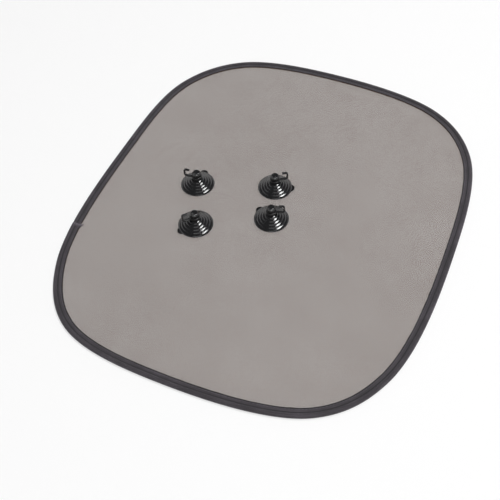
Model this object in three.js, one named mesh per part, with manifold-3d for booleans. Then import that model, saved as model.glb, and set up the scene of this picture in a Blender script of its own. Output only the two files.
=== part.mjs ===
// A folding side window sunshade: a spring wire hoop in a folded fabric tape, a net panel sewn
// into the tape, and four suction cups with turning hooks that lie on the net.
// Millimetres, +Z up. The shade lies flat, its origin is under the middle of the hoop.
import * as THREE from "three";
import { mergeVertices } from "three/addons/utils/BufferGeometryUtils.js";
import Module from "manifold-3d";

const wasm = await Module();
wasm.setup();

// Outline of the hoop, over the tape. The knots give its form, and it is drawn out to the two
// sizes here. They run counterclockwise from the right side.
const shadeWidth = 440;
const shadeDepth = 368;
const outlineKnots = [
  [218, 0],
  [205, 114],
  [148, 168],
  [21, 183],
  [-139, 169],
  [-200, 124],
  [-220, 14],
  [-204, -111],
  [-152, -159],
  [-6, -182],
  [133, -172],
  [192, -123],
];
const hoopSteps = 96;

// Spring wire, and the sleeve that joins its two ends.
const wireDiameter = 1.6;
const wireEndGap = 0.6;
const sleeveLength = 18;
const sleeveWall = 0.35;
const sleevePlay = 0.2;
const sleevePlace = 0.31;

// Fabric tape, folded over the wire and over the edge of the net.
const tapeThickness = 0.5;
const tapeWidth = 9;
const tapePlay = 0.25;
const foldNeck = 3.4;
const rollFlat = 1.4;
const tapeEndGap = 0.6;
const tapeEndPlace = 0.325;
const lapLength = 16;
const lapSink = 0.1;
const lapCornerReach = 3.2;
const lapCornerLength = 6;

// Net panel.
const netThickness = 0.35;
const netPlay = 0.25;
const netTuck = 3.8;

// Suction cup: a stepped cone with a neck and a rounded head.
const cupDiameter = 35;
const cupRise = 8.8;
const lipThickness = 0.9;
const lipFlat = 1;
const hollowDepth = 3.8;
const stepCount = 5;
const stepRiser = 1;
const shoulderRadius = 4.2;
const neckDiameter = 5.6;
const headDiameter = 9;
const headHeight = 5.4;
const headCrownRadius = 2;
const tabWidth = 8;
const tabReach = 3.4;
const cupSeatGap = 0.3;
const turnedSides = 24;

// Hook: a collar that turns on the neck of the cup, and an arm curled up and back at its end.
// The soft rolled edge is squeezed a little to pass through its mouth.
const collarWall = 2;
const collarHeight = 3.2;
const collarPlay = 0.3;
const armThickness = 1.5;
const armWidth = 2.4;
const tipStraight = 3.15;
const mouthSqueeze = 1.4;
const throatPlay = 2.4;
const armBendRadius = 1.8;
const tipBendRadius = 0.8;

// Where the cups lie on the net, as shares of its width and depth from the middle, and which way
// their hooks and pull tabs point.
const cupPlaces = [
  { widthShare: 0.003, depthShare: 0.2275, hookDegrees: 98, tabDegrees: 0 },
  { widthShare: 0.0545, depthShare: 0.0175, hookDegrees: -60, tabDegrees: -76 },
  { widthShare: -0.1125, depthShare: 0.171, hookDegrees: 136, tabDegrees: 143 },
  { widthShare: -0.04, depthShare: -0.014, hookDegrees: -72, tabDegrees: 66 },
];

// Sizes that follow from the ones above.
const wireRadius = wireDiameter / 2;
const sleeveBore = wireRadius + sleevePlay;
const foldBore = sleeveBore + sleeveWall + tapePlay;
const rollRadius = foldBore + tapeThickness;
const wireHeight = rollRadius;
const tapeInnerEdge = tapeWidth - rollRadius;
const slotHalf = netThickness / 2 + netPlay;
const legTop = slotHalf + tapeThickness;
const cupSeat = wireHeight + netThickness / 2 + cupSeatGap;
const cupRadius = cupDiameter / 2;
const neckRadius = neckDiameter / 2;
const headRadius = headDiameter / 2;
const collarFoot = cupRise + collarPlay;
const headFoot = collarFoot + collarHeight + collarPlay;
const collarBore = neckRadius + collarPlay;
const armFoot = collarFoot + (collarHeight - armThickness) / 2;
const wireMouth = 2 * rollRadius - mouthSqueeze;
const tipReturn = tipBendRadius + tipStraight + armThickness / 2;
const throatWall = headRadius + wireMouth + tipReturn;
const tipTop = armFoot + 2 * armThickness + 2 * rollRadius + throatPlay;

const outline = new THREE.CatmullRomCurve3(
  outlineKnots.map(([x, y]) => new THREE.Vector3(x, y, 0)),
  true,
  "centripetal",
);
const drawnBox = new THREE.Box3().setFromPoints(outline.getPoints(1200));
const drawnSize = drawnBox.getSize(new THREE.Vector3());
const drawnMiddle = drawnBox.getCenter(new THREE.Vector3());
const drawnOut = new THREE.Vector3(shadeWidth / drawnSize.x, shadeDepth / drawnSize.y, 1);

// The line of the wire, which runs half the roll's width inside the outline.
class HoopCurve extends THREE.Curve {
  getPoint(t, target = new THREE.Vector3()) {
    const along = outline.getTangent(t).multiply(drawnOut).normalize();
    const edge = outline.getPoint(t).sub(drawnMiddle).multiply(drawnOut);
    return target.set(edge.x - along.y * rollRadius, edge.y + along.x * rollRadius, 0);
  }
}

const hoop = new HoopCurve();
hoop.arcLengthDivisions = 960;
const hoopLength = hoop.getLength();

// A stretch of the hoop, from a share of the way round it and over a length in millimetres.
class HoopStretch extends THREE.Curve {
  constructor(startShare, length) {
    super();
    this.startShare = startShare;
    this.length = length;
  }

  getPoint(t, target = new THREE.Vector3()) {
    const share = this.startShare + (t * this.length) / hoopLength;
    return hoop.getPointAt(share - Math.floor(share), target);
  }
}

// A point of the hoop moved inwards in its own plane.
function insideHoop(share, inwards) {
  const point = hoop.getPointAt(share);
  const along = hoop.getTangentAt(share);
  return new THREE.Vector2(point.x - along.y * inwards, point.y + along.x * inwards);
}

function solidFrom(geometry) {
  const bare = geometry.index ? geometry.toNonIndexed() : geometry.clone();
  bare.deleteAttribute("normal");
  bare.deleteAttribute("uv");
  const merged = mergeVertices(bare, 1e-4);
  return new wasm.Manifold(
    new wasm.Mesh({
      numProp: 3,
      vertProperties: merged.attributes.position.array,
      triVerts: new Uint32Array(merged.index.array),
    }),
  );
}

function geometryFrom(solid) {
  const { vertProperties, triVerts } = solid.getMesh();
  const geometry = new THREE.BufferGeometry();
  geometry.setAttribute("position", new THREE.BufferAttribute(vertProperties, 3));
  geometry.setIndex(new THREE.BufferAttribute(triVerts, 1));
  return geometry;
}

// A section carried along the hoop. Its points are [inwards from the wire, up from the wire].
function sweep(section, path, steps, bore = null) {
  const toShape = ([inwards, up]) => new THREE.Vector2(-up, inwards);
  const shape = new THREE.Shape(section.map(toShape));
  if (bore) shape.holes.push(new THREE.Path(bore.map(toShape)));
  return new THREE.ExtrudeGeometry(shape, { steps, extrudePath: path });
}

function ring(radius, sides) {
  return Array.from({ length: sides }, (_, i) => {
    const angle = (2 * Math.PI * (i + 0.5)) / sides;
    return [radius * Math.cos(angle), radius * Math.sin(angle)];
  });
}

// Points of an arc in the tape's section, from one angle to another, around the wire.
function foldArc(radius, fromDegrees, toDegrees, pieces) {
  return Array.from({ length: pieces + 1 }, (_, i) => {
    const degrees = fromDegrees + ((toDegrees - fromDegrees) * i) / pieces;
    const angle = THREE.MathUtils.degToRad(degrees);
    return [radius * Math.cos(angle), radius * Math.sin(angle)];
  });
}

// One half of the tape's outside, from the inner edge of the upper leg to the outermost point.
// The roll has a narrow flat on top and, mirrored, the flat underneath that it rests on.
function outerHalf(extra) {
  const radius = rollRadius + extra;
  return [
    [tapeInnerEdge, legTop + extra],
    [foldNeck, legTop + extra],
    [rollFlat / 2, radius],
    [-rollFlat / 2, radius],
    ...foldArc(radius, 140, 180, 2),
  ];
}

function mirrored(points) {
  return points.map(([inwards, up]) => [inwards, -up]).reverse();
}

function tapeSection() {
  const outside = outerHalf(0);
  const inside = [...foldArc(foldBore, 180, 60, 3), [foldNeck, slotHalf], [tapeInnerEdge, slotHalf]];
  return [
    ...outside,
    ...mirrored(outside.slice(0, -1)),
    ...mirrored(inside.slice(1)),
    ...inside,
  ];
}

// The tape's end lies over its start, on the upper side, and its corner sticks out over the net.
function tapeLap() {
  const top = outerHalf(tapeThickness);
  const under = outerHalf(-lapSink).reverse();
  const startShare = tapeEndPlace - lapLength / 2 / hoopLength;
  const band = sweep([...top, ...under], new HoopStretch(startShare, lapLength), 2);
  const corner = new THREE.Shape([
    insideHoop(startShare, tapeInnerEdge - lapSink),
    insideHoop(startShare, tapeInnerEdge + lapCornerReach),
    insideHoop(startShare + lapCornerLength / hoopLength, tapeInnerEdge - lapSink),
  ]);
  const flap = new THREE.ExtrudeGeometry(corner, { depth: tapeThickness, bevelEnabled: false });
  flap.translate(0, 0, slotHalf);
  return solidFrom(band).add(solidFrom(flap));
}

function makeBinding() {
  const path = new HoopStretch(tapeEndPlace, hoopLength - tapeEndGap);
  const tape = solidFrom(sweep(tapeSection(), path, hoopSteps));
  return geometryFrom(tape.add(tapeLap()));
}

function makeWire() {
  const startShare = sleevePlace + wireEndGap / 2 / hoopLength;
  return sweep(ring(wireRadius, 8), new HoopStretch(startShare, hoopLength - wireEndGap), hoopSteps);
}

function makeSleeve() {
  const startShare = sleevePlace - sleeveLength / 2 / hoopLength;
  const bore = ring(sleeveBore, 12);
  return sweep(ring(sleeveBore + sleeveWall, 12), new HoopStretch(startShare, sleeveLength), 3, bore);
}

function makeNet() {
  const outline = Array.from({ length: hoopSteps }, (_, i) => insideHoop(i / hoopSteps, netTuck));
  const shape = new THREE.Shape(outline);
  const sheet = new THREE.ExtrudeGeometry(shape, { depth: netThickness, bevelEnabled: false });
  return sheet.translate(0, 0, -netThickness / 2);
}

// A profile of [radius, height] points turned about the upright axis.
function turned(profile) {
  const points = profile.map(([radius, height]) => new THREE.Vector2(radius, height));
  return new THREE.LatheGeometry(points, turnedSides).rotateX(Math.PI / 2);
}

// The stepped outside of the cup, from the lip in to the shoulder: level rings with a riser each.
function coneSteps() {
  const tread = (cupRadius - shoulderRadius) / stepCount;
  const climb = (cupRise - lipThickness) / stepCount;
  return Array.from({ length: stepCount }, (_, i) => {
    const outer = cupRadius - i * tread;
    const foot = lipThickness + i * climb;
    return [
      [outer, foot],
      [outer - tread, foot + climb - stepRiser],
      [outer - tread, foot + climb],
    ];
  }).flat();
}

function cupProfile() {
  const hollowRadius = cupRadius - lipFlat;
  const hollow = [0, 0.35, 0.7].map((share) => [
    hollowRadius * share,
    hollowDepth * (1 - share ** 2),
  ]);
  return [
    ...hollow,
    [hollowRadius, 0],
    [cupRadius, 0],
    ...coneSteps(),
    [neckRadius, cupRise],
    [neckRadius, headFoot],
    [headRadius, headFoot],
    [headRadius, headFoot + headHeight * 0.45],
    [(headRadius + headCrownRadius) / 2, headFoot + headHeight * 0.9],
    [headCrownRadius, headFoot + headHeight],
    [0, headFoot + headHeight],
  ];
}

// A flat tongue with a round end on the lip of the cup, to pull it off the glass.
function pullTab() {
  const root = cupRadius - lipFlat / 2;
  const bend = cupRadius + tabReach - tabWidth / 2;
  const shape = new THREE.Shape();
  shape.moveTo(root - tabWidth / 4, -tabWidth / 2);
  shape.lineTo(bend, -tabWidth / 2);
  shape.absarc(bend, 0, tabWidth / 2, -Math.PI / 2, Math.PI / 2);
  shape.lineTo(root - tabWidth / 4, tabWidth / 2);
  return new THREE.ExtrudeGeometry(shape, {
    depth: lipThickness,
    bevelEnabled: false,
    curveSegments: 8,
  });
}

function makeCup(tabDegrees) {
  const body = solidFrom(turned(cupProfile()));
  const tab = pullTab().rotateZ(THREE.MathUtils.degToRad(tabDegrees));
  return geometryFrom(body.add(solidFrom(tab)));
}

// The side view of the hook's arm: out from the collar, up, and back over at the tip.
function armShape() {
  const outerBend = armBendRadius + armThickness;
  const outerTip = tipBendRadius + armThickness;
  const bendX = throatWall - armBendRadius;
  const bendZ = armFoot + outerBend;
  const tipX = throatWall - tipBendRadius;
  const tipZ = tipTop - outerTip;
  const endX = throatWall - tipReturn + armThickness / 2;
  const rootX = collarBore + collarWall / 2;
  const shape = new THREE.Shape();
  shape.moveTo(rootX, armFoot);
  shape.absarc(bendX, bendZ, outerBend, -Math.PI / 2, 0);
  shape.absarc(tipX, tipZ, outerTip, 0, Math.PI / 2);
  shape.absarc(endX, tipTop - armThickness / 2, armThickness / 2, Math.PI / 2, 1.5 * Math.PI);
  shape.absarc(tipX, tipZ, tipBendRadius, Math.PI / 2, 0, true);
  shape.absarc(bendX, bendZ, armBendRadius, 0, -Math.PI / 2, true);
  shape.lineTo(rootX, armFoot + armThickness);
  return shape;
}

function makeHook(hookDegrees) {
  const collar = turned([
    [collarBore, collarFoot],
    [collarBore + collarWall, collarFoot],
    [collarBore + collarWall, collarFoot + collarHeight],
    [collarBore, collarFoot + collarHeight],
    [collarBore, collarFoot],
  ]);
  const arm = new THREE.ExtrudeGeometry(armShape(), {
    depth: armWidth,
    bevelEnabled: false,
    curveSegments: 5,
  });
  arm.rotateX(Math.PI / 2).translate(0, armWidth / 2, 0);
  const hook = geometryFrom(solidFrom(collar).add(solidFrom(arm)));
  return hook.rotateZ(THREE.MathUtils.degToRad(hookDegrees));
}

const tapeFabric = new THREE.MeshStandardMaterial({ color: 0x38343a, roughness: 0.85 });
const springSteel = new THREE.MeshStandardMaterial({
  color: 0x8e8f92,
  roughness: 0.35,
  metalness: 1,
});
const netFabric = new THREE.MeshStandardMaterial({
  color: 0x2c2928,
  roughness: 0.9,
  transparent: true,
  opacity: 0.5,
});
const cupPlastic = new THREE.MeshStandardMaterial({ color: 0x0d0d0e, roughness: 0.15 });
const hookPlastic = new THREE.MeshStandardMaterial({ color: 0x121213, roughness: 0.3 });

function piece(name, geometry, material) {
  const mesh = new THREE.Mesh(geometry, material);
  mesh.name = name;
  return mesh;
}

const hoopAssembly = new THREE.Group();
hoopAssembly.position.z = wireHeight;
hoopAssembly.add(
  piece("mesh_panel", makeNet(), netFabric),
  piece("edge_binding", makeBinding(), tapeFabric),
  piece("spring_wire", makeWire(), springSteel),
  piece("wire_sleeve", makeSleeve(), springSteel.clone()),
);

const sunshade = new THREE.Group();
sunshade.add(hoopAssembly);
cupPlaces.forEach(({ widthShare, depthShare, hookDegrees, tabDegrees }, i) => {
  const cup = new THREE.Group();
  cup.position.set(widthShare * shadeWidth, depthShare * shadeDepth, cupSeat);
  cup.add(
    piece(`suction_cup_${i + 1}`, makeCup(tabDegrees), cupPlastic.clone()),
    piece(`cup_hook_${i + 1}`, makeHook(hookDegrees), hookPlastic.clone()),
  );
  sunshade.add(cup);
});

export default sunshade;
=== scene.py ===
import math

import bpy
import numpy as np
from mathutils import Matrix, Vector, noise


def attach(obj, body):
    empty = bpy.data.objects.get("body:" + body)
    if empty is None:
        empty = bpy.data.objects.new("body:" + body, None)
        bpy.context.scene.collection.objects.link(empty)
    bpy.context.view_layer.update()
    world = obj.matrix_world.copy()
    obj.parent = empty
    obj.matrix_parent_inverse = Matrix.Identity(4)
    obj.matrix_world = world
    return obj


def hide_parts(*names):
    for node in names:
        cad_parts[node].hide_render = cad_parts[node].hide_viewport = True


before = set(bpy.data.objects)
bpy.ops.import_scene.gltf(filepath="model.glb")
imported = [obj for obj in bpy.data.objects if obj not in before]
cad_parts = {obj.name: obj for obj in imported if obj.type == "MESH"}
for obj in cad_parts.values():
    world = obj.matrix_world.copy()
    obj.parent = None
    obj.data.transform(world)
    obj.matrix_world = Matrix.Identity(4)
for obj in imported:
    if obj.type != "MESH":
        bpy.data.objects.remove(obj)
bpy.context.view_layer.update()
mm = 0.001


# shared modelling steps

def deselectAll():
    bpy.ops.object.select_all(action="DESELECT")


def pick(piece):
    deselectAll()
    piece.select_set(True)
    bpy.context.view_layer.objects.active = piece


def editing(piece):
    pick(piece)
    bpy.ops.object.mode_set(mode="EDIT")
    bpy.ops.mesh.select_all(action="SELECT")


def doneEditing():
    bpy.ops.object.mode_set(mode="OBJECT")


def added(name):
    piece = bpy.context.active_object
    piece.name = name
    piece.data.name = name
    return piece


def applyModifier(piece, kind, **settings):
    pick(piece)
    modifier = piece.modifiers.new(kind.title(), kind)
    for setting, value in settings.items():
        setattr(modifier, setting, value)
    bpy.ops.object.modifier_apply(modifier=modifier.name)


def readPoints(piece):
    points = np.zeros(len(piece.data.vertices) * 3)
    piece.data.vertices.foreach_get("co", points)
    return points.reshape(-1, 3)


def writePoints(piece, points):
    piece.data.vertices.foreach_set("co", np.asarray(points, float).ravel())
    piece.data.update()


def smoothed(piece, degrees=40):
    pick(piece)
    bpy.ops.object.shade_smooth_by_angle(angle=math.radians(degrees))


def softened(points, reach):
    # a line with each of its corners turned into a small curve
    pieces = 4
    line = [Vector(p) for p in points]
    out = [line[0]]
    for before, corner, after in zip(line, line[1:], line[2:]):
        cutIn = min(reach, 0.45 * (before - corner).length, 0.45 * (after - corner).length)
        start = corner + (before - corner).normalized() * cutIn
        end = corner + (after - corner).normalized() * cutIn
        for i in range(pieces + 1):
            t = i / pieces
            out.append(start * (1 - t) ** 2 + corner * 2 * t * (1 - t) + end * t ** 2)
    return out + [line[-1]]


def drawnLine(name, points):
    # one vertex, pushed out from point to point; points are (outwards, up) in millimetres
    line = [Vector((p[0] * mm, 0, p[1] * mm)) for p in points]
    deselectAll()
    bpy.ops.mesh.primitive_plane_add(size=mm, location=line[0])
    piece = added(name)
    bpy.ops.object.mode_set(mode="EDIT")
    bpy.ops.mesh.select_all(action="SELECT")
    bpy.ops.mesh.merge(type="CENTER")
    for here, there in zip(line, line[1:]):
        bpy.ops.mesh.extrude_region_move(TRANSFORM_OT_translate={"value": there - here})
    doneEditing()
    bpy.ops.object.transform_apply(location=True, rotation=True, scale=True)
    return piece


def spunRound(piece, steps):
    editing(piece)
    bpy.ops.mesh.spin(steps=steps, angle=2 * math.pi, center=(0, 0, 0), axis=(0, 0, 1))
    bpy.ops.mesh.select_all(action="SELECT")
    bpy.ops.mesh.remove_doubles(threshold=0.002 * mm)
    bpy.ops.mesh.normals_make_consistent(inside=False)
    doneEditing()


def joined(pieces, name):
    deselectAll()
    for piece in pieces:
        piece.select_set(True)
    bpy.context.view_layer.objects.active = pieces[0]
    bpy.ops.object.join()
    pieces[0].name = name
    return pieces[0]


def copyAt(source, name, at, degrees):
    copy = source.copy()
    copy.data = source.data.copy()
    copy.name = name
    copy.data.name = name
    bpy.context.collection.objects.link(copy)
    turn = Matrix.Rotation(math.radians(degrees), 4, "Z")
    copy.data.transform(Matrix.Translation(Vector(at) * mm) @ turn)
    return copy


def ramp(value, start, full):
    # 0 at start and 1 at full, with a soft beginning and end
    share = np.clip((value - start) / (full - start), 0, 1)
    return share * share * (3 - 2 * share)


# shader maths

class Signal:
    def __init__(self, tree, socket=None):
        self.tree = tree
        self.socket = socket

    def add(self, kind, settings=None, inputs=None, out=0):
        node = self.tree.nodes.new("ShaderNode" + kind)
        for name, value in (settings or {}).items():
            setattr(node, name, value)
        for name, value in (inputs or {}).items():
            if isinstance(value, Signal):
                self.tree.links.new(value.socket, node.inputs[name])
            else:
                node.inputs[name].default_value = value
        return Signal(self.tree, node.outputs[out])

    def other(self, name):
        return Signal(self.tree, self.socket.node.outputs[name])

    def maths(self, operation, second=0.0, swapped=False):
        pair = {0: second, 1: self} if swapped else {0: self, 1: second}
        return self.add("Math", {"operation": operation}, pair)

    def between(self, low, high):
        inputs = {"Value": self, "From Min": low, "From Max": high}
        return self.add("MapRange", {"interpolation_type": "SMOOTHSTEP"}, inputs)

    def __add__(self, second):
        return self.maths("ADD", second)

    def __radd__(self, second):
        return self.maths("ADD", second, True)

    def __sub__(self, second):
        return self.maths("SUBTRACT", second)

    def __rsub__(self, second):
        return self.maths("SUBTRACT", second, True)

    def __mul__(self, second):
        return self.maths("MULTIPLY", second)

    def __rmul__(self, second):
        return self.maths("MULTIPLY", second, True)

    def __truediv__(self, second):
        return self.maths("DIVIDE", second)


class Finish:
    def __init__(self, name, **sockets):
        self.material = bpy.data.materials.new(name)
        self.material.use_nodes = True
        self.tree = self.material.node_tree
        self.shader = self.tree.nodes["Principled BSDF"]
        self.start = Signal(self.tree)
        for socket, value in sockets.items():
            self.shader.inputs[socket.replace("_", " ")].default_value = value

    def place(self, which="Object"):
        return self.start.add("TexCoord", out=which)

    def axes(self, vector):
        x = self.start.add("SeparateXYZ", None, {0: vector})
        return x, x.other("Y"), x.other("Z")

    def grain(self, vector, perMetre, detail=3.0):
        inputs = {"Vector": vector, "Scale": perMetre, "Detail": detail, "Roughness": 0.55}
        return self.start.add("TexNoise", None, inputs)

    def blendColours(self, share, first, second):
        inputs = {0: share, 6: first, 7: second}
        return self.start.add("Mix", {"data_type": "RGBA"}, inputs, 2)

    def feed(self, socket, signal):
        self.tree.links.new(signal.socket, self.shader.inputs[socket])

    def relief(self, height, depth, strength=1.0):
        inputs = {"Height": height, "Distance": depth * mm, "Strength": strength}
        self.feed("Normal", self.start.add("Bump", None, inputs))


# the hoop's line

hoop = {
    "width": 440,
    "depth": 368,
    "rollRadius": 2.1,
    "wireHeight": 2.1,
    "pointsPerSpan": 240,
    "knots": [
        (218, 0), (205, 114), (148, 168), (21, 183), (-139, 169), (-200, 124),
        (-220, 14), (-204, -111), (-152, -159), (-6, -182), (133, -172), (192, -123),
    ],
}


def hoopLine():
    knots = np.array(hoop["knots"], float)
    count = len(knots)
    points = []
    for i in range(count):
        p0, p1, p2, p3 = (knots[(i + k) % count] for k in (-1, 0, 1, 2))
        t0, t1, t2 = (math.sqrt(np.linalg.norm(b - a)) for a, b in ((p0, p1), (p1, p2), (p2, p3)))
        leaving = ((p1 - p0) / t0 - (p2 - p0) / (t0 + t1) + (p2 - p1) / t1) * t1
        coming = ((p2 - p1) / t1 - (p3 - p1) / (t1 + t2) + (p3 - p2) / t2) * t1
        for u in np.linspace(0, 1, hoop["pointsPerSpan"], endpoint=False):
            bend = 3 * (p2 - p1) - 2 * leaving - coming
            twist = 2 * (p1 - p2) + leaving + coming
            points.append(p1 + leaving * u + bend * u ** 2 + twist * u ** 3)
    points = np.array(points)
    low, high = points.min(0), points.max(0)
    points = (points - (low + high) / 2) * np.array([hoop["width"], hoop["depth"]]) / (high - low)
    along = np.roll(points, -1, 0) - np.roll(points, 1, 0)
    along /= np.linalg.norm(along, axis=1)[:, None]
    return points + hoop["rollRadius"] * np.column_stack((-along[:, 1], along[:, 0]))


wireLine = hoopLine()
wireClosed = np.vstack((wireLine, wireLine[:1]))
wireReach = np.concatenate(([0], np.cumsum(np.linalg.norm(np.diff(wireClosed, axis=0), axis=1))))
hoopLength = wireReach[-1]


def besideHoop(distance, inwards):
    # points in millimetres at a distance along the wire, moved inwards from it
    def at(s):
        s = np.mod(s, hoopLength)
        return np.column_stack([np.interp(s, wireReach, wireClosed[:, k]) for k in (0, 1)])
    along = at(distance + 0.5) - at(distance - 0.5)
    along /= np.linalg.norm(along, axis=1)[:, None]
    inwards = np.broadcast_to(inwards, np.shape(distance))[:, None]
    return at(distance) + np.column_stack((-along[:, 1], along[:, 0])) * inwards


def wrapOnHoop(piece, flat):
    # flat holds, for each vertex, millimetres along the wire, inwards from it and up from it
    flatPlace = besideHoop(flat[:, 0], flat[:, 1])
    writePoints(piece, np.column_stack((flatPlace, flat[:, 2] + hoop["wireHeight"])) * mm)


# the tape, folded over the wire and the edge of the net

stitching = {
    "fromWire": 5.5,
    "pitch": 3,
    "length": 2.3,
    "thickness": 0.34,
    "height": 0.68,
    "wave": (0.10, 23),  # how far the seam wanders sideways, and over what length
    "colour": (0.075, 0.068, 0.08, 1),
    "patchesPerMetre": 900,
    "twistsPerMetre": 5000,
}

tape = {
    "thickness": 0.45,
    "halfSection": [  # from the inner edge of the upper leg round to the outermost point
        (6.9, 0.62), (6.2, 0.52), (5.5, 0.40), (4.8, 0.56), (4.0, 0.68), (3.1, 0.66),
        (2.45, 0.72), (1.95, 1.0), (1.45, 1.38), (0.8, 1.72), (0, 1.86), (-0.7, 1.74),
        (-1.32, 1.33), (-1.75, 0.67), (-1.87, 0),
    ],
    "rows": 34,
    "endPlace": 0.325,  # share of the way round at which the tape's two ends meet
    "lapLength": 16,
    "lapPast": 3,  # how far the tucked end runs past endPlace
    "lapLift": 0.32,
    "lapFalls": (19, 9),  # distances from the upper end between which the lap lies down
    "tuckedShare": 0.76,
    "tuckedLeg": 0.8,
    "tuckedOver": 4,
    "cornerReach": 3.2,
    "cornerLength": 6,
    "pucker": 0.16,
    "gathers": [(1, 5.5, 0.22, 1.0), (0.6, 2.6, 0.5, 7.0)],  # share, size, spread across, seed
    "seamDip": 0.07,
    "seamWidth": 0.9,
    "edgeWander": 0.22,
    "edgeWanderSize": 9,
    "legBegins": (1.5, 4),  # from the wire to where the flat leg starts and is whole
    "edgeBegins": (5.2, 6.8),
    "cornerBegins": (4.5, 6.9),
    "colour": (0.020, 0.0165, 0.020, 1),
    "paleColour": (0.078, 0.068, 0.080, 1),
    # painted shade for the cut edges and the crease, where real shade falls
    "paintedShadeColour": (0.005, 0.004, 0.005, 1),
    # paler at the free end: frayed fibres, with a painted sheen on them
    "frayedSheenColour": (0.17, 0.15, 0.175, 1),
    "threadPitch": 0.42,
    "streak": (30, 0.9),  # length and width of the paler streaks along the weave
    "patchesPerMetre": 70,
    "edgeShadeReach": (0.3, 1.5),  # painted shade along both cut edges: full up to the first distance from the edge, gone by the second
    "creaseAt": 4.5,  # from the cut edge: the fold between the roll and the flat leg, darkened with painted shade
    "creaseShadeHalfWidth": 1.1,
    # how far from the free end the frayed fibres and their painted sheen reach
    "frayedSheenLength": 4.5,
}


def wander(distance, across, size, seed):
    # slow uneven movement, the same each run
    return np.array([
        noise.noise(Vector((s / size, a, seed))) for s, a in zip(distance, across)
    ])


def makeTape():
    half = np.array(tape["halfSection"])
    section = np.vstack((half, (half * (1, -1))[-2::-1]))
    reach = np.concatenate(([0], np.cumsum(np.linalg.norm(np.diff(section, axis=0), axis=1))))
    overlap = tape["lapLength"] / 2 + tape["lapPast"]
    stripLength = hoopLength + overlap
    steps = round(stripLength / stitching["pitch"] * 2)
    deselectAll()
    bpy.ops.mesh.primitive_grid_add(x_subdivisions=steps, y_subdivisions=tape["rows"], size=1)
    piece = added("edge_tape")
    points = readPoints(piece)
    along = (points[:, 0] + 0.5) * stripLength
    across = (0.5 - points[:, 1]) * reach[-1]
    inwards = np.interp(across, reach, section[:, 0])
    up = np.interp(across, reach, section[:, 1])
    upper = np.where(across < reach[-1] / 2, 1.0, -1.0)

    # the far end is tucked inside, and the near end rises a little over it
    tucked = ramp(along, hoopLength - tape["tuckedOver"], hoopLength)
    shrink = 1 - (1 - tape["tuckedShare"]) * tucked
    onRoll = inwards < hoop["rollRadius"] - 0.1
    inwards = np.where(onRoll, inwards * shrink, inwards - tape["tuckedLeg"] * tucked)
    up = up * shrink * (1 - 0.25 * tucked)
    lift = tape["lapLift"] * ramp(along, *tape["lapFalls"])
    up = up + np.where(upper > 0, lift * ramp(up, -0.4, 0.5), 0)

    # gathers of the cloth at the seam, and the wandering of its cut edge
    start = tape["endPlace"] * hoopLength - tape["lapLength"] / 2
    leg = ramp(inwards, *tape["legBegins"])
    gather = sum(share * wander(along, across * spread, size, seed)
                 for share, size, spread, seed in tape["gathers"])
    between = np.cos(2 * math.pi * (along + start) / stitching["pitch"])
    nearSeam = np.exp(-((inwards - stitching["fromWire"]) / tape["seamWidth"]) ** 2)
    up = up + leg * tape["pucker"] * gather * upper * (1 - 0.5 * nearSeam)
    up = up - tape["seamDip"] * nearSeam * between * upper
    edgeMoves = wander(along, upper * 3, tape["edgeWanderSize"], 3.0)
    inwards = inwards + ramp(inwards, *tape["edgeBegins"]) * tape["edgeWander"] * edgeMoves
    corner = np.clip(1 - along / tape["cornerLength"], 0, 1) * (upper > 0)
    inwards = inwards + ramp(inwards, *tape["cornerBegins"]) * corner * tape["cornerReach"]
    wrapOnHoop(piece, np.column_stack((along + start, inwards, up)))
    applyModifier(piece, "SOLIDIFY", thickness=tape["thickness"] * mm, offset=0)
    editing(piece)
    bpy.ops.mesh.normals_make_consistent(inside=False)
    doneEditing()
    smoothed(piece, 60)
    return piece, reach[-1], stripLength


def tapeFinish(width, length):
    finish = Finish("tapeCloth", Roughness=0.78, Sheen_Weight=0.22, Sheen_Roughness=0.45)
    finish.shader.inputs["Sheen Tint"].default_value = (0.86, 0.84, 0.95, 1)
    u, v, _ = finish.axes(finish.place("UV"))
    along = u * (length / tape["threadPitch"])
    across = v * (width / tape["threadPitch"])
    weft = (along * math.pi).maths("SINE").maths("ABSOLUTE")
    warp = (across * math.pi).maths("SINE").maths("ABSOLUTE")
    over = (along * 0.5 + across * 0.5).maths("FRACT").maths("GREATER_THAN", 0.5)
    weave = weft * over + warp * (1 - over)
    wide = finish.grain(finish.place(), tape["patchesPerMetre"], 4)
    streakLong, streakWide = tape["streak"]
    place = {0: u * (length / streakLong), 1: v * (width / streakWide)}
    streaks = finish.start.add("CombineXYZ", None, place)
    streak = finish.grain(streaks, 1.0, 2)
    share = wide.between(0.35, 0.8) * 0.45 + streak.between(0.4, 0.75) * 0.35 + weave * 0.2
    cloth = finish.blendColours(share, tape["colour"], tape["paleColour"])
    # painted shade: the cloth is darkened along both cut edges and in the crease of the fold
    fromEdge = (0.5 - (v - 0.5).maths("ABSOLUTE")) * width
    rim = 1 - fromEdge.between(*tape["edgeShadeReach"])
    fromCrease = (fromEdge - tape["creaseAt"]).maths("ABSOLUTE")
    creaseShading = fromCrease.between(tape["creaseShadeHalfWidth"], 0.3)
    paintedShadeShare = rim.maths("MAXIMUM", creaseShading * 0.9)
    shadedCloth = finish.blendColours(paintedShadeShare * 0.85, cloth, tape["paintedShadeColour"])
    # paler patches at the tape's free end: partly frayed fibres, partly a painted sheen
    frayedSheen = (u * length).between(tape["frayedSheenLength"], 0.5) * streak.between(0.3, 0.55)
    finish.feed("Base Color", finish.blendColours(frayedSheen * 0.7, shadedCloth, tape["frayedSheenColour"]))
    finish.feed("Roughness", 0.7 + wide * 0.2)
    finish.relief(weave * 0.6 + streak * 0.4, 0.12)
    return finish.material


tapePiece, tapeAcross, tapeLong = makeTape()
tapePiece.data.materials.append(tapeFinish(tapeAcross, tapeLong))
print("tape folded", round(tapeAcross, 1), "mm by", round(tapeLong), "mm")


# the sewing thread: one stitch, repeated along the tape on both sides

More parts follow.
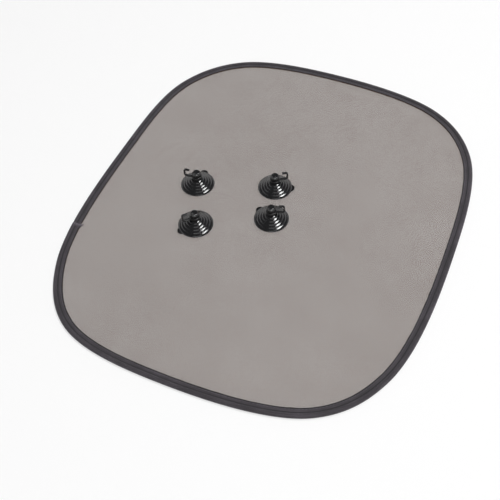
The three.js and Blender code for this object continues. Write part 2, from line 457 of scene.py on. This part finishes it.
def makeStitches():
    count = round(hoopLength / stitching["pitch"])
    pitch = hoopLength / count
    deselectAll()
    bpy.ops.mesh.primitive_uv_sphere_add(segments=6, ring_count=5, radius=0.5 * mm)
    piece = added("sewing_thread")
    size = (stitching["length"], stitching["thickness"], stitching["thickness"] * 0.7)
    writePoints(piece, readPoints(piece)[:, [2, 0, 1]] * size)
    applyModifier(piece, "ARRAY", count=count, use_relative_offset=False,
                  use_constant_offset=True, constant_offset_displace=(pitch * mm, 0, 0))
    applyModifier(piece, "ARRAY", count=2, use_relative_offset=False, use_constant_offset=True,
                  constant_offset_displace=(0, 0, -2 * stitching["height"] * mm))
    flat = readPoints(piece) / mm
    flat[:, 0] += tape["endPlace"] * hoopLength - tape["lapLength"] / 2 + pitch / 2
    sideways, waveSize = stitching["wave"]
    flat[:, 1] += stitching["fromWire"] + sideways * np.sin(flat[:, 0] / waveSize)
    flat[:, 2] += stitching["height"]
    begun = np.mod(flat[:, 0] - tape["endPlace"] * hoopLength + tape["lapLength"] / 2, hoopLength)
    lift = tape["lapLift"] * ramp(begun, *tape["lapFalls"])
    flat[:, 2] += np.where(flat[:, 2] > 0, lift, 0)
    wrapOnHoop(piece, flat)
    editing(piece)
    bpy.ops.mesh.normals_make_consistent(inside=False)
    doneEditing()
    smoothed(piece, 60)
    return piece


def threadFinish():
    finish = Finish("sewingThread", Roughness=0.6, Sheen_Weight=0.2)
    shade = finish.grain(finish.place(), stitching["patchesPerMetre"], 2)
    pale = tuple(c * 1.7 for c in stitching["colour"][:3]) + (1,)
    finish.feed("Base Color", finish.blendColours(shade, stitching["colour"], pale))
    finish.relief(finish.grain(finish.place(), stitching["twistsPerMetre"], 1), 0.05)
    return finish.material


threadPiece = makeStitches()
threadPiece.data.materials.append(threadFinish())
print("stitches sewn")


# the net

net = {
    "height": 2.22,
    "tuck": 3.8,
    "cells": (88, 74),
    "rimPoints": 1440,
    "ripple": 0.09,
    "waves": [(1, 45, 60, 5.0), (0.4, 18, 22, 9.0)],  # share, size along, size across, seed
    "pitch": 0.86,
    "holeShare": 0.297,  # hole radius over pitch
    "edgeSoftness": 0.06,
    "unevenness": 0.036,
    "turnDegrees": 8,
    "patchesPerMetre": 26,
    "flecksPerMetre": 500,
    "colour": (0.088, 0.055, 0.040, 1),
}


def makeNet():
    places = np.linspace(0, hoopLength, net["rimPoints"], endpoint=False)
    rim = besideHoop(places, net["tuck"])
    rimAngle = np.arctan2(rim[:, 1], rim[:, 0])
    rimRadius = np.hypot(rim[:, 0], rim[:, 1])
    deselectAll()
    bpy.ops.mesh.primitive_grid_add(x_subdivisions=net["cells"][0],
                                    y_subdivisions=net["cells"][1], size=2)
    piece = added("net_panel")
    u, v = readPoints(piece)[:, :2].T
    share = np.maximum(abs(u), abs(v))
    angle = np.arctan2(v * hoop["depth"], u * hoop["width"])
    radius = share * np.interp(angle, *zip(*sorted(zip(rimAngle, rimRadius))),
                               period=2 * math.pi)
    x, y = radius * np.cos(angle), radius * np.sin(angle)
    wave = sum(part * wander(x, y / sizeAcross, size, seed)
               for part, size, sizeAcross, seed in net["waves"])
    up = net["height"] + net["ripple"] * wave * ramp(share, 1, 0.875)
    writePoints(piece, np.column_stack((x, y, up)) * mm)
    smoothed(piece, 60)
    nextRim = np.roll(rim, -1, 0)
    area = abs(np.sum(rim[:, 0] * nextRim[:, 1] - nextRim[:, 0] * rim[:, 1])) / 2
    return piece, np.ptp(rim[:, 0]), np.ptp(rim[:, 1]), area


def netFinish():
    finish = Finish("netCloth", Roughness=0.62, Sheen_Weight=0.15, Base_Color=net["colour"])
    turn = {"Vector": finish.place(), "Rotation": (0, 0, math.radians(net["turnDegrees"]))}
    x, y, _ = finish.axes(finish.start.add("Mapping", None, turn))
    column = x / (net["pitch"] * mm)
    row = y / (net["pitch"] * mm * math.sqrt(3))

    def fromHole(shift):
        dx = (column + shift).maths("FRACT") - 0.5
        dy = (row + shift).maths("FRACT") - 0.5
        return dx * dx + 3 * dy * dy

    distance = fromHole(0.0).maths("MINIMUM", fromHole(0.5)).maths("SQRT")
    uneven = finish.grain(finish.place(), net["patchesPerMetre"], 2)
    hole = net["holeShare"] + (uneven - 0.5) * net["unevenness"]
    thread = (distance - hole).between(-net["edgeSoftness"] / 2, net["edgeSoftness"] / 2)
    finish.feed("Alpha", thread)
    tone = finish.grain(finish.place(), net["flecksPerMetre"], 3)
    pale = tuple(c * 1.5 for c in net["colour"][:3]) + (1,)
    finish.feed("Base Color", finish.blendColours(tone, net["colour"], pale))
    finish.relief(distance, 0.25, 0.7)
    return finish.material


netPiece, netWide, netDeep, netArea = makeNet()
netPiece.data.materials.append(netFinish())
print("net stretched", round(netWide), "mm by", round(netDeep), "mm")


# suction cups and their hooks, and the finish of the wire

cup = {
    "radius": 17.5, "lip": 0.9, "lipFlat": 1, "drop": 0.18, "hollow": 3.8, "rise": 8.8,
    "steps": 5, "shoulder": 4.2, "neck": 2.8, "headFoot": 12.6,
    "headRadius": 4.5, "headHeight": 5.4, "seat": 2.575, "spinSteps": 96,
    "bulge": 0.45,  # 0 makes each step of the cone a straight slope, and 1 a quarter round
    "hollowShares": (0, 0.2, 0.4, 0.6, 0.8, 0.92),  # where the hollow's curve has points
    "headShoulder": 0.62, "headCrown": 0.72, "headDome": 0.3, "edgeSoftness": 0.3,
    "tabWidth": 8.5, "tabReach": 2.7, "tabRoundness": 0.8,
    "colour": (0.006, 0.006, 0.007, 1),
    "dustColour": (0.09, 0.088, 0.085, 1),
    "patchesPerMetre": 120, "dustPerMetre": 2600, "dimplesPerMetre": 420,
    "places": [
        {"at": (1.32, 83.72), "hookDegrees": 98, "tabDegrees": 0},
        {"at": (23.98, 6.44), "hookDegrees": -60, "tabDegrees": -76},
        {"at": (-49.5, 62.928), "hookDegrees": 136, "tabDegrees": 143},
        {"at": (-17.6, -5.152), "hookDegrees": -72, "tabDegrees": 66},
    ],
}

hook = {
    "collarBore": 3.1, "collarWall": 2, "collarFoot": 9.1, "collarHeight": 3.2,
    "collarSoftness": 0.45, "collarSteps": 64,
    "armHeight": 10.7, "armThickness": 1.5, "armWidth": 2.4, "armMiddle": 7, "armSoftness": 0.42,
    "bendAt": 10.2, "bendRadius": 2.55, "straightTop": 15.2,
    "tipAt": (11.2, 17.25), "tipRadius": 1.55, "tipEnd": 7.3,
    "colour": (0.009, 0.009, 0.010, 1), "wornColour": (0.016, 0.016, 0.017, 1),
    "patchesPerMetre": 300, "pitsPerMetre": 1500,
}

steel = {
    "dullColour": (0.36, 0.35, 0.34, 1), "brightColour": (0.60, 0.60, 0.61, 1),
    "patchesPerMetre": 200, "drawMarksPerMetre": 3000,
}


def cupProfile():
    hollowRadius = cup["radius"] - cup["lipFlat"]
    hollow = [
        (hollowRadius * share, cup["hollow"] * (1 - share ** 2) - cup["drop"] * share)
        for share in cup["hollowShares"]
    ]
    tread = (cup["radius"] - cup["shoulder"]) / cup["steps"]
    climb = (cup["rise"] - cup["lip"]) / cup["steps"]
    slope = []
    for i in range(cup["steps"]):
        inner = cup["radius"] - (i + 1) * tread
        foot = cup["lip"] + i * climb
        for turn in range(1, 7):
            a = math.radians(turn * 15)
            out = cup["bulge"] * math.cos(a) + (1 - cup["bulge"]) * (1 - turn / 6)
            up = cup["bulge"] * math.sin(a) + (1 - cup["bulge"]) * turn / 6
            slope.append((inner + tread * out, foot + climb * up))
    headTop = cup["headFoot"] + cup["headHeight"]
    corners = [
        (hollowRadius, -cup["drop"]), (cup["radius"], -cup["drop"]),
        (cup["radius"], cup["lip"]), *slope, (cup["neck"], cup["rise"]),
        (cup["neck"], cup["headFoot"]), (cup["headRadius"], cup["headFoot"]),
        (cup["headRadius"], cup["headFoot"] + cup["headShoulder"] * cup["headHeight"]),
        (cup["headCrown"] * cup["headRadius"], headTop - cup["headDome"]), (0, headTop),
    ]
    return softened(hollow + corners, cup["edgeSoftness"])


def makeCup():
    piece = drawnLine("cupBody", cupProfile())
    spunRound(piece, cup["spinSteps"])
    points = readPoints(piece)
    out = np.hypot(points[:, 0], points[:, 1]) / mm
    sideways = points[:, 1] / mm / (cup["tabWidth"] / 2)
    # the lip is drawn out on one side into the pull tab
    tongue = cup["tabReach"] * np.clip(1 - sideways ** 2, 0, 1) ** cup["tabRoundness"]
    low = points[:, 2] < (cup["lip"] + 0.05) * mm
    outer = ramp(out, cup["radius"] - 1.1, cup["radius"] - 0.1)
    reach = np.where(low & (points[:, 0] > 0), tongue * outer, 0)
    points[:, :2] *= (1 + reach / np.maximum(out, 1))[:, None]
    writePoints(piece, points)
    smoothed(piece, 35)
    return piece


def makeHook():
    foot, wall = hook["collarFoot"], hook["collarWall"]
    bore, top = hook["collarBore"], hook["collarFoot"] + hook["collarHeight"]
    seam = (bore, foot + 1)
    ring = [seam, (bore, foot), (bore + wall, foot), (bore + wall, top), (bore, top), seam]
    collar = drawnLine("hookCollar", softened(ring, hook["collarSoftness"]))
    spunRound(collar, hook["collarSteps"])
    arc = [math.radians(a) for a in range(0, 91, 10)]
    radius, tipRadius, (tipX, tipZ) = hook["bendRadius"], hook["tipRadius"], hook["tipAt"]
    base = hook["armHeight"]
    path = [(bore + wall / 2, base), (hook["armMiddle"], base)]
    path += [(hook["bendAt"] + radius * math.sin(a), base + radius * (1 - math.cos(a))) for a in arc]
    path += [(hook["bendAt"] + radius, hook["straightTop"])]
    path += [(tipX + tipRadius * math.cos(a), tipZ + tipRadius * math.sin(a)) for a in arc]
    path += [(hook["tipEnd"], tipZ + tipRadius)]
    arm = drawnLine("hookArm", path)
    editing(arm)
    width = Vector((0, hook["armWidth"] * mm, 0))
    bpy.ops.transform.translate(value=-width / 2)
    bpy.ops.mesh.extrude_region_move(TRANSFORM_OT_translate={"value": width})
    doneEditing()
    applyModifier(arm, "SOLIDIFY", thickness=hook["armThickness"] * mm, offset=0)
    applyModifier(arm, "BEVEL", width=hook["armSoftness"] * mm, segments=4, limit_method="ANGLE",
                  angle_limit=math.radians(50))
    editing(arm)
    bpy.ops.mesh.normals_make_consistent(inside=False)
    doneEditing()
    piece = joined([collar, arm], "hookModel")
    smoothed(piece, 35)
    return piece


def cupFinish():
    finish = Finish("blackVinyl", IOR=1.5, Coat_Weight=0.25, Coat_Roughness=0.08)
    wide = finish.grain(finish.place(), cup["patchesPerMetre"])
    dust = finish.grain(finish.place(), cup["dustPerMetre"], 2).between(0.66, 0.75)
    dusty = finish.blendColours(dust * 0.35, cup["colour"], cup["dustColour"])
    finish.feed("Base Color", dusty)
    finish.feed("Roughness", 0.09 + wide * 0.09 + dust * 0.3)
    finish.relief(finish.grain(finish.place(), cup["dimplesPerMetre"]), 0.05, 0.6)
    return finish.material


def hookFinish():
    finish = Finish("hookPlastic", IOR=1.5)
    wide = finish.grain(finish.place(), hook["patchesPerMetre"])
    finish.feed("Base Color", finish.blendColours(wide, hook["colour"], hook["wornColour"]))
    finish.feed("Roughness", 0.2 + wide * 0.18)
    finish.relief(finish.grain(finish.place(), hook["pitsPerMetre"]), 0.03, 0.6)
    return finish.material


def steelFinish():
    finish = Finish("springSteel", Metallic=1.0)
    place = finish.place()
    wide = finish.grain(place, steel["patchesPerMetre"], 4)
    metal = finish.blendColours(wide, steel["dullColour"], steel["brightColour"])
    finish.feed("Base Color", metal)
    finish.feed("Roughness", 0.24 + wide * 0.25)
    finish.relief(finish.grain(place, steel["drawMarksPerMetre"], 2), 0.02, 0.5)
    return finish.material


cupModel, hookModel = makeCup(), makeHook()
cupModel.data.materials.append(cupFinish())
hookModel.data.materials.append(hookFinish())
shadePieces = [tapePiece, threadPiece, netPiece]
for number, place in enumerate(cup["places"], 1):
    at = (*place["at"], cup["seat"])
    cupPiece = copyAt(cupModel, f"cup_{number}", at, place["tabDegrees"])
    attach(cupPiece, "shade")
    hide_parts(f"suction_cup_{number}")
    hookPiece = copyAt(hookModel, f"hook_arm_{number}", at, place["hookDegrees"])
    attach(hookPiece, f"hook_{number}")
    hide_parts(f"cup_hook_{number}")
for model in (cupModel, hookModel):
    bpy.data.objects.remove(model)
print("cups and hooks placed")

wireMetal = steelFinish()
for name in ("spring_wire", "wire_sleeve"):
    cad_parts[name].data.materials.clear()
    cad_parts[name].data.materials.append(wireMetal)

for piece in shadePieces:
    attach(piece, "shade")
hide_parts("edge_binding")
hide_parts("mesh_panel")
tapeAcross * mm
tapeLong * mm


# floor, light and camera

view = {
    "place": (-440.24, -170.29, 528.08),
    "looksAt": (-61.245, 0.437, 2.1),
    "lens": 50.234,
    "sensorWidth": 36,
    "rollDegrees": -3.304,
}

studio = {
    "worldLevel": 0.18,
    "floorColour": (0.93, 0.93, 0.93),
    "floorGlow": 0.6,  # share of plain white that the eye gets from the floor
    "backdropGlow": 0.94,
    "floorSide": 8,  # metres, as the backdrop's two sizes are
    "backdropRadius": 3.9,
    "backdropHeight": 2,
    "lamps": [
        {"name": "keyLamp", "towards": (0.14, -0.34, 0.93), "away": 2600,
         "size": (1150, 520), "watts": 48},
        {"name": "sideLamp", "towards": (0.251, 0.415, 0.874), "away": 2600,
         "size": (760, 760), "watts": 3},
        {"name": "frontLamp", "towards": (-0.80, -0.42, 0.62), "away": 2600,
         "size": (1900, 1300), "watts": 16},
    ],
}


def paleFinish(name, glow):
    finish = Finish(name, Roughness=0.9, Specular_IOR_Level=0.0)
    finish.shader.inputs["Base Color"].default_value = (*studio["floorColour"], 1)
    path = finish.start.add("LightPath", out="Is Camera Ray")
    seen = path.maths("MAXIMUM", path.other("Is Glossy Ray"))
    seen = seen.maths("MAXIMUM", path.other("Is Transmission Ray"))
    white = finish.start.add("Emission", None, {"Color": (1, 1, 1, 1), "Strength": 1.0})
    surface = Signal(finish.tree, finish.shader.outputs[0])
    mixed = finish.start.add("MixShader", None, {0: seen * glow, 1: surface, 2: white})
    output = finish.tree.nodes["Material Output"]
    finish.tree.links.new(mixed.socket, output.inputs["Surface"])
    return finish.material


def makeFloor():
    deselectAll()
    bpy.ops.mesh.primitive_plane_add(size=studio["floorSide"], location=(0, 0, 0))
    floor = added("floor")
    floor.data.materials.append(paleFinish("paleFloor", studio["floorGlow"]))
    deselectAll()
    height = studio["backdropHeight"]
    bpy.ops.mesh.primitive_cylinder_add(vertices=96, radius=studio["backdropRadius"], depth=height,
                                        location=(0, 0, height / 2), end_fill_type="NOTHING")
    bpy.ops.object.transform_apply(location=True, rotation=True, scale=True)
    backdrop = added("backdrop")
    backdrop.data.materials.append(paleFinish("paleBackdrop", studio["backdropGlow"]))
    smoothed(backdrop)


def makeLamps():
    for lamp in studio["lamps"]:
        towards = Vector(lamp["towards"]).normalized()
        bpy.ops.object.light_add(type="AREA", location=towards * lamp["away"] * mm)
        light = bpy.context.active_object
        light.name = lamp["name"]
        light.rotation_euler = (-towards).to_track_quat("-Z", "Y").to_euler()
        light.data.shape = "RECTANGLE"
        light.data.size, light.data.size_y = (side * mm for side in lamp["size"])
        light.data.energy = lamp["watts"]
    world = bpy.data.worlds.new("studioAir")
    world.use_nodes = True
    world.node_tree.nodes["Background"].inputs["Color"].default_value = (1, 1, 1, 1)
    world.node_tree.nodes["Background"].inputs["Strength"].default_value = studio["worldLevel"]
    bpy.context.scene.world = world


def makeCamera():
    place, looksAt = Vector(view["place"]) * mm, Vector(view["looksAt"]) * mm
    bpy.ops.object.camera_add(location=place)
    camera = bpy.context.active_object
    aim = (looksAt - place).to_track_quat("-Z", "Y").to_matrix().to_4x4()
    roll = Matrix.Rotation(math.radians(view["rollDegrees"]), 4, "Z")
    camera.rotation_euler = (aim @ roll).to_euler()
    camera.data.sensor_width = view["sensorWidth"]
    camera.data.lens = view["lens"]
    camera.data.clip_start = 0.01
    bpy.context.scene.camera = camera


makeFloor()
makeLamps()
makeCamera()
bpy.context.scene.view_settings.view_transform = "Standard"
print("studio ready")
